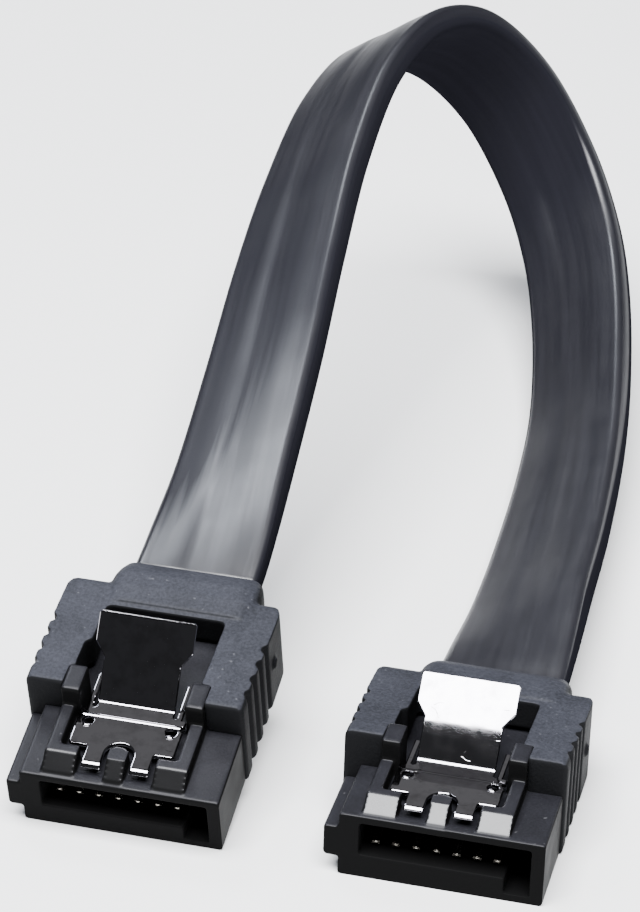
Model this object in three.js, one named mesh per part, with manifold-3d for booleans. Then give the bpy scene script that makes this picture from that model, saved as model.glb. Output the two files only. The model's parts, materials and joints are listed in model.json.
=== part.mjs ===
// Short flat SATA data cable: two straight plugs with sprung latches, joined by one flat ribbon.
// Millimetres. +X runs from the first plug to the second, -Y is the way the plugs mate, +Z is up.
// The origin is under the middle of the two plugs, on the table that they lie on.
// Each plug is built in a frame of its own: X across, Y from the nose tip back to the ribbon,
// Z up, with its origin at the bottom front edge of the nose.
import * as THREE from "three";
import { mergeVertices } from "three/addons/utils/BufferGeometryUtils.js";
import Module from "manifold-3d";

// How the plugs lie: side by side, the first one tipped forward onto its nose.
const PLUG_SPACING = 20.2;
const PLUG_FRONT = -8.5;
const FIRST_SETBACK = 0.35;
const FIRST_TILT = THREE.MathUtils.degToRad(17);

// Air between pieces that are moulded or pressed together.
const SEAM = 0.3;

// Straight steps in each round stretch of an outline.
const CURVE_STEPS = 5;

// Nose: the part of the housing that enters the socket.
const NOSE_WIDTH = 13.8;
const NOSE_HEIGHT = 4.4;
const NOSE_LENGTH = 5.75;
const KEY_WIDTH = 0.96;
const KEY_BOTTOM = 1.3;
const KEY_TOP = 3.4;
const NOSE_EDGE = 0.15;

// Mouth: the L-shaped slot in the face of the nose.
const MOUTH_LEFT = -4.65;
const MOUTH_RIGHT = 6.04;
const MOUTH_BOTTOM = 1.6;
const MOUTH_TOP = 3.85;
const MOUTH_LEG_WIDTH = 1.58;
const MOUTH_LEG_BOTTOM = 0.5;
const MOUTH_DEPTH = 5;

// Contacts: a row of spring blades on the floor of the mouth.
const CONTACT_COUNT = 7;
const CONTACT_PITCH = 1.27;
const CONTACT_WIDTH = 0.5;
const CONTACT_THICKNESS = 0.2;
const CONTACT_BOW = 0.3;
const CONTACT_TIP = 1.15;
const CONTACT_END = 7.7;

// Ridge on top of the nose: two ramps, a centre tongue and two rails that guard the latch.
const RIDGE_HALF = 4.6;
const RIDGE_TOP = NOSE_HEIGHT + 0.9;
const RAMP_FRONT = 0.35;
const RAMP_FOOT = NOSE_HEIGHT + 0.1;
const RAMP_CREST = 1.5;
const RAMP_BACK = 2.15;
const RAIL_THICKNESS = 0.85;
const TONGUE_HALF = 0.6;
const TONGUE_BACK = 2.6;
const PRONG_SLOT_WIDTH = 1.9;
const TROUGH_FLOOR = NOSE_HEIGHT - 0.2;

// Posts that rise from the rails on both sides of the latch tab.
const POST_FRONT = 5.3;
const POST_BACK = 7.5;
const POST_DROP = 0.1;
const POST_INNER = 3.4;
const POST_EDGE = 0.25;

// Deck: the back of the housing, held inside the overmould and seen through its window.
const DECK_HALF = 5.4;
const DECK_BOTTOM = 0.9;
const DECK_TOP = 3.6;
const DECK_BACK = 13.9;

// Latch: one strip of spring steel, folded up into a finger tab.
const STEEL = 0.3;
const LATCH_HALF = 3.4;
const LATCH_LEVEL = NOSE_HEIGHT + 0.5;
const LATCH_FRONT = 1.1;
const LATCH_CORNER_BACK = 2.5;
const LATCH_CORNER = 0.15;
const LATCH_CURL = 0.4;
const LATCH_CURL_DROP = 0.33;
const NOTCH_FRONT = 4.6;
const NOTCH_BACK = 5.15;
const NOTCH_DEPTH = 0.2;
const LATCH_FOLD = 6.2;
const BEND = 0.5;
const LATCH_ARM_BACK = 8.5;
const ARM_INNER = 2.72;
const ARM_OUTER = 3.08;
const ARCH_RADIUS = 0.95;
const ARCH_CENTRE = 2.1;
const PRONG_OUTER = 2.15;
const PEG_HOLE_RADIUS = 0.35;
const PEG_HOLE_ACROSS = 2.7;
const PEG_HOLE_BACK = 4.5;
const LIP_HEIGHT = 0.2;
const TAB_HALF = 2.5;
const TAB_TOP_HALF = 3.15;
const TAB_SHOULDER = 7;
const TAB_TOP_BACK = 10.2;
const TAB_TOP = 9.05;

// Overmould: the soft grip around the back of the housing.
const GRIP_HALF = 7.08;
const GRIP_HEIGHT = 6.8;
const GRIP_FALL = 1.1;
const GRIP_BACK = 15.9;
const GRIP_EDGE = 0.75;
const GRIP_BACK_EDGE = 0.8;
const GRIP_SMALL_EDGE = 0.3;
const GRIP_CORNER = 1.3;
const GROOVE_COUNT = 4;
const GROOVE_FIRST = 7.3;
const GROOVE_PITCH = 1.4;
const GROOVE_RADIUS = 0.42;
const WINDOW_HALF = 3.9;
const WINDOW_BACK = 13.4;
const WINDOW_CORNER = 0.4;
const BAY_DEPTH = 0.4;
const BAY_LENGTH = 2.6;
const GATE_RADIUS = 0.35;
const GATE_LENGTH = 0.22;

// Neck: the hump behind the grip that the ribbon leaves.
const NECK_ACROSS = 0.5;
const NECK_HALF = 4.75;
const NECK_BACK = 18.1;
const NECK_DROP = 0.7;
const EXIT_LEVEL = 3.8;

// Ribbon: the flat cable, at its real length.
const RIBBON_WIDTH = 8.3;
const RIBBON_THICKNESS = 2.1;
const RIBBON_CORNER = 0.5;
const RIBBON_LEAD = 3;
const RIBBON_STEPS = 56;

// The ribbon's route between the two plugs, as x, y, z of its centre line and the lean of its
// width from level, in degrees. Its ends are worked out from the necks.
const ROUTE = [
  [-9.9, 18.8, 11.9, 16],
  [-10.4, 28.1, 15.1, 20],
  [-11.0, 37.3, 18.6, 25],
  [-11.4, 46.6, 21.8, 31],
  [-11.2, 56.3, 24.4, 33],
  [-9.8, 65.1, 25.0, 32],
  [-6.9, 72.2, 22.6, 35],
  [-2.9, 75.2, 17.8, 37],
  [1.1, 73.7, 12.3, 36],
  [4.2, 68.8, 8.3, 35],
  [6.4, 61.6, 5.7, 36],
  [8.2, 52.0, 3.8, 36],
  [9.3, 42.1, 3.0, 30],
  [10.0, 31.1, 2.8, 24],
  [10.4, 21.1, 3.3, 20],
];

const wasm = await Module();
wasm.setup();

// A closed geometry as a solid that can be joined and cut.
function solid(geometry) {
  const bare = new THREE.BufferGeometry();
  const flat = geometry.index ? geometry.toNonIndexed() : geometry;
  bare.setAttribute("position", flat.getAttribute("position"));
  const merged = mergeVertices(bare, 1e-4);
  return new wasm.Manifold(
    new wasm.Mesh({
      numProp: 3,
      vertProperties: merged.attributes.position.array,
      triVerts: new Uint32Array(merged.index.array),
    }),
  );
}

// A joined and cut solid as a geometry with flat faces.
function geometryOf(body) {
  const { vertProperties, triVerts, numProp } = body.getMesh();
  const positions = new Float32Array(triVerts.length * 3);
  triVerts.forEach((vertex, i) => {
    const start = vertex * numProp;
    positions.set(vertProperties.subarray(start, start + 3), i * 3);
  });
  const geometry = new THREE.BufferGeometry();
  geometry.setAttribute("position", new THREE.BufferAttribute(positions, 3));
  geometry.computeVertexNormals();
  return geometry;
}

const join = (...bodies) => bodies.reduce((whole, body) => whole.add(body));
const cut = (body, ...tools) => tools.reduce((rest, tool) => rest.subtract(tool), body);

// An outline from corners [u, v] or [u, v, radius].
function outline(corners) {
  const shape = new THREE.Shape();
  corners.forEach(([u, v, radius = 0], i) => {
    const corner = new THREE.Vector2(u, v);
    const before = new THREE.Vector2(...corners.at(i - 1)).sub(corner).setLength(radius).add(corner);
    const next = corners[(i + 1) % corners.length];
    const after = new THREE.Vector2(...next).sub(corner).setLength(radius).add(corner);
    if (i === 0) shape.moveTo(before.x, before.y);
    else shape.lineTo(before.x, before.y);
    if (radius > 0) shape.quadraticCurveTo(u, v, after.x, after.y);
  });
  return shape;
}

// A full circle as an outline.
function disc(u, v, radius) {
  return new THREE.Shape().absarc(u, v, radius, 0, 2 * Math.PI);
}

// The outline of a bent strip of even thickness, along the middle line that is given.
function strip(middle, thickness) {
  const points = middle.getPoints(CURVE_STEPS);
  const ways = points.slice(1).map((point, i) => point.clone().sub(points[i]).normalize());
  const below = [];
  const above = [];
  points.forEach((point, i) => {
    const before = ways[Math.max(i - 1, 0)];
    const after = ways[Math.min(i, ways.length - 1)];
    const along = before.clone().add(after).normalize();
    const reach = thickness / 2 / along.dot(after);
    const side = new THREE.Vector2(-along.y, along.x).multiplyScalar(reach);
    below.push(point.clone().sub(side));
    above.unshift(point.clone().add(side));
  });
  return new THREE.Shape([...below, ...above]);
}

const extrude = (shape, depth) =>
  new THREE.ExtrudeGeometry(shape, { depth, bevelEnabled: false, curveSegments: CURVE_STEPS });

// Prisms of an outline in (Y, Z), (X, Z) or (X, Y), from one plane to another.
function prismX(shape, from, to) {
  const turn = new THREE.Matrix4().makeBasis(
    new THREE.Vector3(0, 1, 0),
    new THREE.Vector3(0, 0, 1),
    new THREE.Vector3(1, 0, 0),
  );
  return solid(extrude(shape, to - from).applyMatrix4(turn).translate(from, 0, 0));
}

function prismY(shape, from, to) {
  return solid(extrude(shape, to - from).rotateX(Math.PI / 2).translate(0, to, 0));
}

function prismZ(shape, from, to) {
  return solid(extrude(shape, to - from).translate(0, 0, from));
}

const block = (x0, x1, y0, y1, z0, z1) =>
  prismZ(outline([[x0, y0], [x1, y0], [x1, y1], [x0, y1]]), z0, z1);

// A closed skin over a row of rings, each a list of points in the same order.
function loft(rings) {
  const size = rings[0].length;
  const index = [];
  for (let ring = 0; ring < rings.length - 1; ring++) {
    for (let i = 0; i < size; i++) {
      const a = ring * size + i;
      const b = ring * size + ((i + 1) % size);
      index.push(a, a + size, b, b, a + size, b + size);
    }
  }
  const last = (rings.length - 1) * size;
  for (let i = 1; i < size - 1; i++) {
    index.push(0, i, i + 1);
    index.push(last, last + i + 1, last + i);
  }
  const geometry = new THREE.BufferGeometry().setFromPoints(rings.flat());
  geometry.setIndex(index);
  return solid(geometry);
}

// Front view of the nose: a box with a key rib along its left side.
function noseOutline() {
  const half = NOSE_WIDTH / 2;
  const key = KEY_WIDTH - half;
  return outline([
    [key, 0, NOSE_EDGE],
    [half, 0, NOSE_EDGE],
    [half, NOSE_HEIGHT, NOSE_EDGE],
    [key, NOSE_HEIGHT, NOSE_EDGE],
    [key, KEY_TOP],
    [-half, KEY_TOP, NOSE_EDGE],
    [-half, KEY_BOTTOM, NOSE_EDGE],
    [key, KEY_BOTTOM],
  ]);
}

// Front view of the L-shaped mouth, its leg at the right.
function mouthOutline() {
  const leg = MOUTH_RIGHT - MOUTH_LEG_WIDTH;
  return outline([
    [MOUTH_LEFT, MOUTH_BOTTOM],
    [leg, MOUTH_BOTTOM],
    [leg, MOUTH_LEG_BOTTOM],
    [MOUTH_RIGHT, MOUTH_LEG_BOTTOM],
    [MOUTH_RIGHT, MOUTH_TOP],
    [MOUTH_LEFT, MOUTH_TOP],
  ]);
}

// Side view of the ridge: the ramp, the rail behind it and the post at its end.
function ridgeOutline() {
  const postTop = GRIP_HEIGHT - POST_DROP;
  const root = NOSE_HEIGHT - SEAM;
  const step = POST_FRONT - SEAM;
  return outline([
    [RAMP_FRONT, root],
    [step, root],
    [step, DECK_TOP - SEAM],
    [POST_BACK, DECK_TOP - SEAM],
    [POST_BACK, postTop, POST_EDGE],
    [POST_FRONT, postTop, POST_EDGE],
    [POST_FRONT, RIDGE_TOP],
    [RAMP_CREST, RIDGE_TOP],
    [RAMP_FRONT, RAMP_FOOT],
  ]);
}

// Plan of the trough that the latch lies in, with a slot at the front for each prong.
function troughOutline() {
  const wall = RIDGE_HALF - RAIL_THICKNESS;
  const slot = TONGUE_HALF + PRONG_SLOT_WIDTH;
  const slotFront = RAMP_FRONT + 0.4;
  const tongueShoulder = TONGUE_BACK - TONGUE_HALF;
  return outline([
    [-wall, RAMP_BACK],
    [-slot, RAMP_BACK],
    [-slot, slotFront],
    [-TONGUE_HALF, slotFront],
    [-TONGUE_HALF, tongueShoulder],
    [-TONGUE_HALF, TONGUE_BACK, TONGUE_HALF],
    [TONGUE_HALF, TONGUE_BACK, TONGUE_HALF],
    [TONGUE_HALF, slotFront],
    [slot, slotFront],
    [slot, RAMP_BACK],
    [wall, RAMP_BACK],
    [wall, POST_FRONT],
    [POST_INNER, POST_FRONT],
    [POST_INNER, POST_BACK + SEAM],
    [-POST_INNER, POST_BACK + SEAM],
    [-POST_INNER, POST_FRONT],
    [-wall, POST_FRONT],
  ]);
}

// Housing: the nose with its ridge and posts, and the deck behind it.
function housing() {
  const noseBack = NOSE_LENGTH - SEAM;
  const shell = join(
    prismY(noseOutline(), 0, noseBack),
    prismX(ridgeOutline(), -RIDGE_HALF, RIDGE_HALF),
    block(-DECK_HALF, DECK_HALF, MOUTH_DEPTH, DECK_BACK, DECK_BOTTOM, DECK_TOP),
  );
  const tongueRamp = outline([
    [0, RIDGE_TOP],
    [0, RAMP_FOOT - 0.2],
    [TONGUE_BACK - 0.2, RIDGE_TOP],
  ]);
  const slots = [-1, 1].map((side) => {
    const middle = side * (TONGUE_HALF + PRONG_SLOT_WIDTH / 2);
    const half = PRONG_SLOT_WIDTH / 2;
    return block(middle - half, middle + half, 0, RAMP_CREST, NOSE_HEIGHT, GRIP_HEIGHT);
  });
  return cut(
    shell,
    prismY(mouthOutline(), -1, MOUTH_DEPTH),
    contactSlit(),
    prismZ(troughOutline(), TROUGH_FLOOR, GRIP_HEIGHT + 1),
    block(-POST_INNER, POST_INNER, NOSE_LENGTH, POST_BACK + 1, DECK_TOP, GRIP_HEIGHT + 1),
    prismX(tongueRamp, -TONGUE_HALF - 0.1, TONGUE_HALF + 0.1),
    ...slots,
  );
}

// One slit through the back of the mouth that all the contacts reach through.
function contactSlit() {
  const half = ((CONTACT_COUNT - 1) / 2) * CONTACT_PITCH + CONTACT_WIDTH / 2 + SEAM;
  const top = MOUTH_BOTTOM + CONTACT_THICKNESS + 2 * SEAM;
  return block(-half, half, MOUTH_DEPTH - 1, CONTACT_END + SEAM, MOUTH_BOTTOM, top);
}

// Contact: a blade that bows up where it touches and dips at its tip.
function contact() {
  const level = MOUTH_BOTTOM + SEAM + CONTACT_THICKNESS / 2;
  const middle = new THREE.SplineCurve([
    new THREE.Vector2(CONTACT_TIP, level),
    new THREE.Vector2(CONTACT_TIP + 0.9, level + CONTACT_BOW),
    new THREE.Vector2(CONTACT_TIP + 2, level + 0.1),
    new THREE.Vector2(CONTACT_TIP + 3, level),
    new THREE.Vector2(CONTACT_END, level),
  ]);
  return prismX(strip(middle, CONTACT_THICKNESS), -CONTACT_WIDTH / 2, CONTACT_WIDTH / 2);
}

// Plan of the flat part of the latch: two prongs, set-back corners and side notches.
function latchPlan() {
  const right = [
    [PRONG_OUTER, 0],
    [PRONG_OUTER, LATCH_CORNER_BACK],
    [LATCH_HALF, LATCH_CORNER_BACK, LATCH_CORNER],
    [LATCH_HALF, NOTCH_FRONT],
    [LATCH_HALF - NOTCH_DEPTH, NOTCH_FRONT + NOTCH_DEPTH],
    [LATCH_HALF - NOTCH_DEPTH, NOTCH_BACK - NOTCH_DEPTH],
    [LATCH_HALF, NOTCH_BACK],
    [LATCH_HALF, LATCH_FOLD - BEND - LATCH_CORNER],
  ];
  const left = right.map(([x, ...rest]) => [-x, ...rest]).reverse();
  return outline([...right, ...left]);
}

// Arch that parts the two prongs and clears the tongue.
function archOutline() {
  const shape = new THREE.Shape();
  shape.moveTo(-ARCH_RADIUS, 0);
  shape.lineTo(-ARCH_RADIUS, ARCH_CENTRE);
  shape.absarc(0, ARCH_CENTRE, ARCH_RADIUS, Math.PI, 0, true);
  shape.lineTo(ARCH_RADIUS, 0);
  return shape;
}

// Side view of the latch: prongs curled down, flat part, fold and rising tab.
function latchPath() {
  const fold = new THREE.Vector2(LATCH_FOLD, LATCH_LEVEL);
  const top = new THREE.Vector2(TAB_TOP_BACK, TAB_TOP);
  const bendEnd = top.clone().sub(fold).setLength(BEND).add(fold);
  const curlEnd = LATCH_FRONT + LATCH_CURL;
  const path = new THREE.Path();
  path.moveTo(LATCH_FRONT, LATCH_LEVEL - LATCH_CURL_DROP);
  path.quadraticCurveTo(LATCH_FRONT, LATCH_LEVEL, curlEnd, LATCH_LEVEL);
  path.lineTo(LATCH_FOLD - BEND, LATCH_LEVEL);
  path.quadraticCurveTo(fold.x, fold.y, bendEnd.x, bendEnd.y);
  path.lineTo(top.x, top.y);
  return path;
}

// Front view of the tab, which widens to a grip above its shoulders.
function tabOutline() {
  const flare = TAB_TOP_HALF - TAB_HALF;
  return outline([
    [-TAB_HALF, LATCH_LEVEL - STEEL],
    [TAB_HALF, LATCH_LEVEL - STEEL],
    [TAB_HALF, TAB_SHOULDER],
    [TAB_TOP_HALF, TAB_SHOULDER + flare],
    [TAB_TOP_HALF, TAB_TOP + STEEL, LATCH_CORNER],
    [-TAB_TOP_HALF, TAB_TOP + STEEL, LATCH_CORNER],
    [-TAB_TOP_HALF, TAB_SHOULDER + flare],
    [-TAB_HALF, TAB_SHOULDER],
  ]);
}

// Raised lip in front of a peg hole, seen from the side.
function lipOutline() {
  const front = PEG_HOLE_BACK - 2 * PEG_HOLE_RADIUS;
  const crest = LATCH_LEVEL + STEEL / 2 + LIP_HEIGHT;
  return outline([
    [front, LATCH_LEVEL],
    [PEG_HOLE_BACK, LATCH_LEVEL],
    [PEG_HOLE_BACK - PEG_HOLE_RADIUS / 2, crest],
  ]);
}

// Latch: a bent strip stamped to its plan and tab outlines, with two arms beside the tab.
function latch() {
  const blank = prismX(strip(latchPath(), STEEL), -LATCH_HALF, LATCH_HALF);
  const stamp = join(
    prismZ(latchPlan(), LATCH_LEVEL - 1, LATCH_LEVEL + 1),
    prismY(tabOutline(), LATCH_FOLD - BEND - 2 * LATCH_CORNER, TAB_TOP_BACK + 1),
  );
  const bottom = LATCH_LEVEL - STEEL / 2;
  const top = LATCH_LEVEL + STEEL / 2;
  const armFront = LATCH_FOLD - 2 * BEND;
  const arms = [
    block(ARM_INNER, ARM_OUTER, armFront, LATCH_ARM_BACK, bottom, top),
    block(-ARM_OUTER, -ARM_INNER, armFront, LATCH_ARM_BACK, bottom, top),
  ];
  const hole = PEG_HOLE_RADIUS;
  const sides = [-PEG_HOLE_ACROSS, PEG_HOLE_ACROSS];
  const lips = sides.map((x) => prismX(lipOutline(), x - hole * 0.8, x + hole * 0.8));
  const holes = sides.map((x) => prismZ(disc(x, PEG_HOLE_BACK, hole), 0, GRIP_HEIGHT));
  const folded = join(blank.intersect(stamp), ...arms, ...lips);
  return cut(folded, prismZ(archOutline(), 0, GRIP_HEIGHT), ...holes);
}

// The grip's outside: what its front, side and plan views have in common, with round edges.
function gripBlock() {
  const front = outline([
    [-GRIP_HALF, 0, GRIP_SMALL_EDGE],
    [GRIP_HALF, 0, GRIP_SMALL_EDGE],
    [GRIP_HALF, GRIP_HEIGHT, GRIP_EDGE],
    [-GRIP_HALF, GRIP_HEIGHT, GRIP_EDGE],
  ]);
  const side = outline([
    [NOSE_LENGTH, 0],
    [GRIP_BACK, 0, GRIP_SMALL_EDGE],
    [GRIP_BACK, GRIP_HEIGHT - GRIP_FALL, GRIP_BACK_EDGE],
    [NOSE_LENGTH, GRIP_HEIGHT, GRIP_SMALL_EDGE],
  ]);
  const plan = outline([
    [-GRIP_HALF, NOSE_LENGTH, GRIP_SMALL_EDGE],
    [GRIP_HALF, NOSE_LENGTH, GRIP_SMALL_EDGE],
    [GRIP_HALF, GRIP_BACK, GRIP_CORNER],
    [-GRIP_HALF, GRIP_BACK, GRIP_CORNER],
  ]);
  return prismY(front, NOSE_LENGTH, GRIP_BACK)
    .intersect(prismX(side, -GRIP_HALF, GRIP_HALF))
    .intersect(prismZ(plan, 0, GRIP_HEIGHT));
}

// A row of upright finger grooves down each side of the grip.
function fingerGrooves() {
  const grooves = [];
  for (let i = 0; i < GROOVE_COUNT; i++) {
    const y = GROOVE_FIRST + i * GROOVE_PITCH;
    for (const side of [-1, 1]) {
      const x = side * (GRIP_HALF + GROOVE_RADIUS / 4);
      grooves.push(prismZ(disc(x, y, GROOVE_RADIUS), -1, GRIP_HEIGHT + 1));
    }
  }
  return grooves;
}

// Neck: rounded sections that sink and narrow from the grip to the ribbon.
function neck() {
  const crest = GRIP_HEIGHT - NECK_DROP;
  const reach = NECK_BACK - GRIP_BACK;
  const sections = [
    [GRIP_BACK - 2, 0.45, 1.0, crest - 0.02],
    [GRIP_BACK - 0.6, 0.4, 1.1, crest],
    [GRIP_BACK + 0.3 * reach, 0.25, 1.4, crest - 0.15],
    [GRIP_BACK + 0.65 * reach, 0.1, 1.8, crest - 0.5],
    [NECK_BACK, -0.15, 2.2, crest - 0.95],
  ];
  const rings = sections.map(([y, extra, bottom, top]) => {
    const half = NECK_HALF + extra;
    const radius = (top - bottom) * 0.3;
    const section = outline([
      [NECK_ACROSS - half, bottom, radius],
      [NECK_ACROSS + half, bottom, radius],
      [NECK_ACROSS + half, top, radius],
      [NECK_ACROSS - half, top, radius],
    ]);
    return section.getPoints(CURVE_STEPS).map(({ x, y: z }) => new THREE.Vector3(x, y, z));
  });
  return loft(rings.map((ring) => ring.slice(0, -1)));
}

// Plan of the window behind the latch tab, with a shallow bay in its left side.
function windowOutline() {
  const bayBack = POST_BACK + BAY_LENGTH;
  return outline([
    [-WINDOW_HALF, POST_BACK],
    [WINDOW_HALF, POST_BACK],
    [WINDOW_HALF, WINDOW_BACK, WINDOW_CORNER],
    [-WINDOW_HALF, WINDOW_BACK, WINDOW_CORNER],
    [-WINDOW_HALF, bayBack],
    [-WINDOW_HALF - BAY_DEPTH, bayBack - BAY_DEPTH],
    [-WINDOW_HALF - BAY_DEPTH, POST_BACK + BAY_DEPTH],
  ]);
}

// Grip: the overmould with its neck, hollowed for the housing and open over the latch.
function grip() {
  const gate = new THREE.CylinderGeometry(GATE_RADIUS, GATE_RADIUS, 2 * GATE_LENGTH, 10)
    .rotateZ(Math.PI / 2)
    .translate(GRIP_HALF, GROOVE_FIRST + GROOVE_PITCH * GROOVE_COUNT, GRIP_HEIGHT / 2);
  const body = join(cut(gripBlock(), ...fingerGrooves()), neck(), solid(gate));
  const front = NOSE_LENGTH - 1;
  const deck = DECK_HALF + SEAM;
  const ridge = RIDGE_HALF + SEAM;
  return cut(
    body,
    block(-deck, deck, front, DECK_BACK + SEAM, DECK_BOTTOM - SEAM, DECK_TOP + SEAM),
    block(-ridge, ridge, front, POST_BACK + SEAM, DECK_TOP, GRIP_HEIGHT + 1),
    prismZ(windowOutline(), DECK_TOP, GRIP_HEIGHT + 1),
  );
}

// The ribbon's centre line, which also says how its width leans along the way.
class RibbonPath extends THREE.CatmullRomCurve3 {
  constructor(points, leans) {
    super(points, false, "catmullrom", 0.5);
    this.leanCurve = new THREE.SplineCurve(leans.map((lean, i) => new THREE.Vector2(i, lean)));
  }

  computeFrenetFrames(segments) {
    const frames = { tangents: [], normals: [], binormals: [] };
    for (let i = 0; i <= segments; i++) {
      const tangent = this.getTangentAt(i / segments);
      const lean = this.leanCurve.getPoint(this.getUtoTmapping(i / segments)).y;
      const angle = THREE.MathUtils.degToRad(lean);
      const across = new THREE.Vector3(Math.cos(angle), 0, Math.sin(angle));
      across.projectOnPlane(tangent).normalize();
      frames.tangents.push(tangent);
      frames.normals.push(across);
      frames.binormals.push(tangent.clone().cross(across));
    }
    return frames;
  }
}

// The point just behind a plug's neck, and one a short way straight out from it.
function ribbonExit(plug) {
  return [0, RIBBON_LEAD].map((out) =>
    plug.localToWorld(new THREE.Vector3(NECK_ACROSS, NECK_BACK + SEAM + out, EXIT_LEVEL)),
  );
}

function ribbonGeometry(firstPlug, secondPlug) {
  const [firstEnd, firstLead] = ribbonExit(firstPlug);
  const [secondEnd, secondLead] = ribbonExit(secondPlug);
  const middle = ROUTE.map(([x, y, z]) => new THREE.Vector3(x, y, z));
  const leans = ROUTE.map((row) => row[3]);
  const startLean = leans[0] / 4;
  const endLean = leans.at(-1) / 3;
  const path = new RibbonPath(
    [firstEnd, firstLead, ...middle, secondLead, secondEnd],
    [0, startLean, ...leans, endLean, 0],
  );
  const halfWidth = RIBBON_WIDTH / 2;
  const halfThickness = RIBBON_THICKNESS / 2;
  const section = outline([
    [-halfWidth, -halfThickness, RIBBON_CORNER],
    [halfWidth, -halfThickness, RIBBON_CORNER],
    [halfWidth, halfThickness, RIBBON_CORNER],
    [-halfWidth, halfThickness, RIBBON_CORNER],
  ]);
  return new THREE.ExtrudeGeometry(section, {
    steps: RIBBON_STEPS,
    curveSegments: 2,
    extrudePath: path,
  });
}

const paint = (color, roughness, metalness) => () =>
  new THREE.MeshStandardMaterial({ color, roughness, metalness });
const housingPlastic = paint(0x141518, 0.42, 0);
const gripPlastic = paint(0x2b2d33, 0.72, 0);
const polishedSteel = paint(0xb9bcc2, 0.14, 1);
const contactMetal = paint(0xc9b27a, 0.25, 1);
const cableVinyl = paint(0x2a2c31, 0.4, 0);

const pieces = {
  housing: { geometry: geometryOf(housing()), material: housingPlastic },
  grip: { geometry: geometryOf(grip()), material: gripPlastic },
  latch: { geometry: geometryOf(latch()), material: polishedSteel },
};
const contactGeometry = geometryOf(contact());

// One plug, its meshes named after it.
function plug(name) {
  const group = new THREE.Group();
  for (const [piece, { geometry, material }] of Object.entries(pieces)) {
    const mesh = new THREE.Mesh(geometry, material());
    mesh.name = `${name}_${piece}`;
    group.add(mesh);
  }
  for (let i = 0; i < CONTACT_COUNT; i++) {
    const mesh = new THREE.Mesh(contactGeometry, contactMetal());
    mesh.name = `${name}_contact_${i + 1}`;
    mesh.position.x = (i - (CONTACT_COUNT - 1) / 2) * CONTACT_PITCH;
    group.add(mesh);
  }
  return group;
}

const firstPlug = plug("first");
firstPlug.position.set(-PLUG_SPACING / 2, PLUG_FRONT + FIRST_SETBACK, 0);
firstPlug.rotation.x = FIRST_TILT;

const secondPlug = plug("second");
secondPlug.position.set(PLUG_SPACING / 2, PLUG_FRONT, 0);

const cable = new THREE.Group();
cable.add(firstPlug, secondPlug);
cable.updateMatrixWorld(true);

const ribbon = new THREE.Mesh(ribbonGeometry(firstPlug, secondPlug), cableVinyl());
ribbon.name = "ribbon";
cable.add(ribbon);

export default cable;
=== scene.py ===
# %% [markdown]
# # A short flat data cable with two latching plugs
#
# The object is two small moulded plugs joined by one flat ribbon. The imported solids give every
# place and size, so the scene starts by loading them, and every piece made here is fitted to them.
# The scene is in metres, so small parts read best as a number times `MM`.

# %% Load the solids
import json
import math

import bmesh
import bpy
import numpy as np
from mathutils import Matrix, Vector

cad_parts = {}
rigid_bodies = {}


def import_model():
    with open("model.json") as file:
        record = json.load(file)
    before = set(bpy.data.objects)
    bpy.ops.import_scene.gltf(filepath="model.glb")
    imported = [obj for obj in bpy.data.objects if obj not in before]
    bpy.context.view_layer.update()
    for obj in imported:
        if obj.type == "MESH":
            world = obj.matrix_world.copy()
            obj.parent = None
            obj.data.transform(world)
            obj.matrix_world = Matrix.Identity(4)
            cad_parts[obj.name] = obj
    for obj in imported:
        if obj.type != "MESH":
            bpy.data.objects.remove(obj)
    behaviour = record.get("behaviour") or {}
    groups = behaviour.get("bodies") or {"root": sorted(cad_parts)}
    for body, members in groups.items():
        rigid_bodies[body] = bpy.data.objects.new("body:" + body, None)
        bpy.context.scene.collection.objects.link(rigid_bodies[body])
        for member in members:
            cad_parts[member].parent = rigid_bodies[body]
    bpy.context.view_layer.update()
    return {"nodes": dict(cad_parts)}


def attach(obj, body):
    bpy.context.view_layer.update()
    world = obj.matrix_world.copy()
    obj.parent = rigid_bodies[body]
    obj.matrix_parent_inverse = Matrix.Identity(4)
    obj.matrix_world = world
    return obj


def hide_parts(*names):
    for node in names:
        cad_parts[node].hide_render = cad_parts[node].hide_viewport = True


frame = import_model()
nodes = frame["nodes"]

MM = 0.001
ROOT = "cable"
PLUGS = ("first", "second")
print("loaded", len(nodes), "nodes")

# %% [markdown]
# ## Where the plugs lie
#
# The second plug lies flat. The first one is tipped forward onto the front edge of its nose, held
# up from behind by the stiff ribbon. A matrix for each plug turns a place on the plug, measured
# from the bottom front edge of its nose, into a place on the table.

# %% Plug places
PLUG_SPACING = 20.2 * MM
PLUG_FRONT = -8.5 * MM
FIRST_SETBACK = 0.35 * MM
FIRST_TILT = math.radians(17)

plug_place = {
    "first": Matrix.Translation((-PLUG_SPACING / 2, PLUG_FRONT + FIRST_SETBACK, 0))
    @ Matrix.Rotation(FIRST_TILT, 4, "X"),
    "second": Matrix.Translation((PLUG_SPACING / 2, PLUG_FRONT, 0)),
}
print("first plug's nose is at", tuple(plug_place["first"].translation))

# %% [markdown]
# ## The camera
#
# The photograph was taken with a long lens from the front, a little to the right and a little under
# thirty degrees above the table. A long lens far away keeps the two plugs almost the same size. The
# camera is placed by the direction it looks from, so the same numbers can be read off the picture.

# %% Camera
VIEW_AZIMUTH = math.radians(12.91)
VIEW_ELEVATION = math.radians(28.17)
VIEW_ROLL = math.radians(1.98)
VIEW_DISTANCE = 220.4 * MM
VIEW_TARGET = Vector((0.38, -0.56, 24.44)) * MM
LENS = 143.95
NEAREST_SEEN, FARTHEST_SEEN = 0.01, 10


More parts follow.
